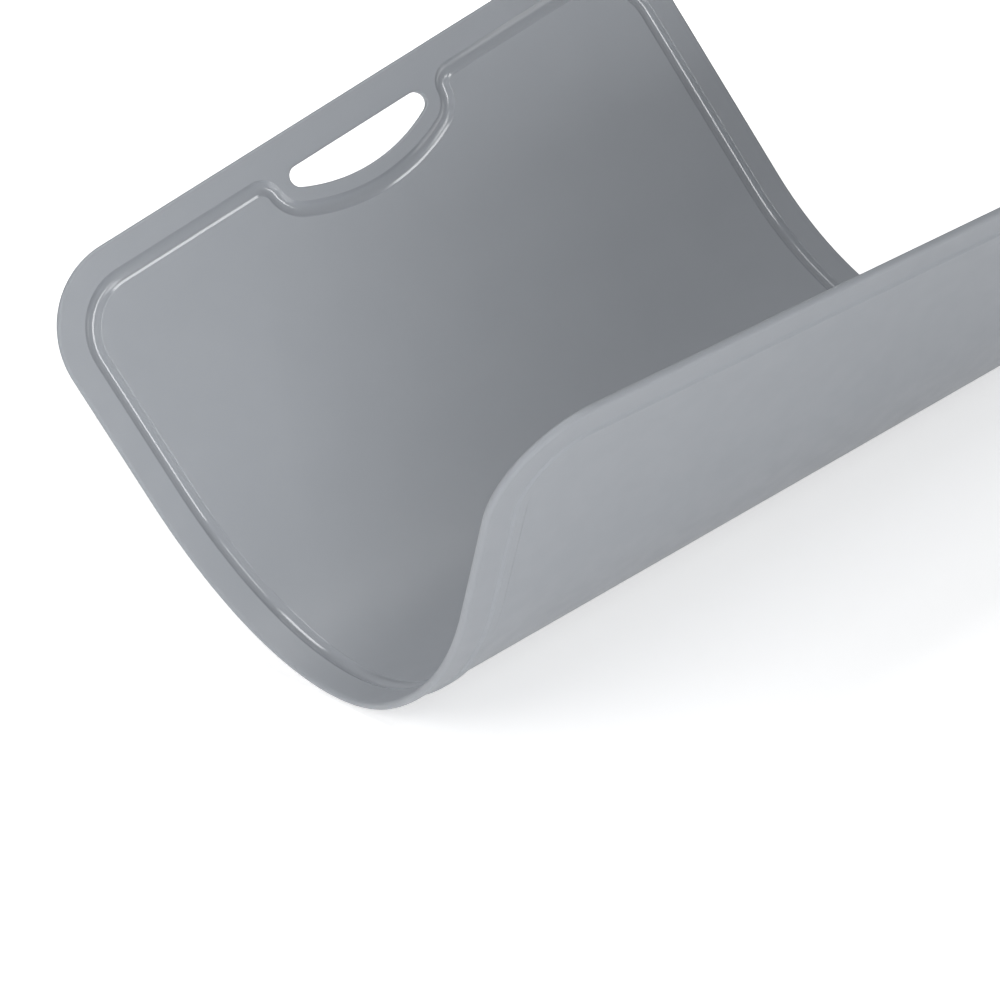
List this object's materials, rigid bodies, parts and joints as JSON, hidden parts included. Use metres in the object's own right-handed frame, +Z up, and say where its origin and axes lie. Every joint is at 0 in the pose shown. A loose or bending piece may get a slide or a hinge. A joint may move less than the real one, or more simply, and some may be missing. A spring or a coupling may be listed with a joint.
{
  "type": "flexible cutting mat",
  "caption": "Flexible moulded cutting mat with a rounded rim, a juice groove and a half-moon grip slot, curled into a trough for tipping food out.",
  "frame": {"origin": "on the surface it stands on, under the middle of the mat's box; the trough touches down along one line, 11.2 mm towards the handle side", "axes": "+X from the handle side to the free side, +Y along the trough from the near end to the far end, +Z up"},
  "size_m": [0.2756, 0.3112, 0.1625],
  "materials": {
    "mat": "satin grey thermoplastic polyurethane with a fine moulded grain"
  },
  "bodies": {
    "root": {"cutting_mat": "mat"}
  },
  "joints": []
}
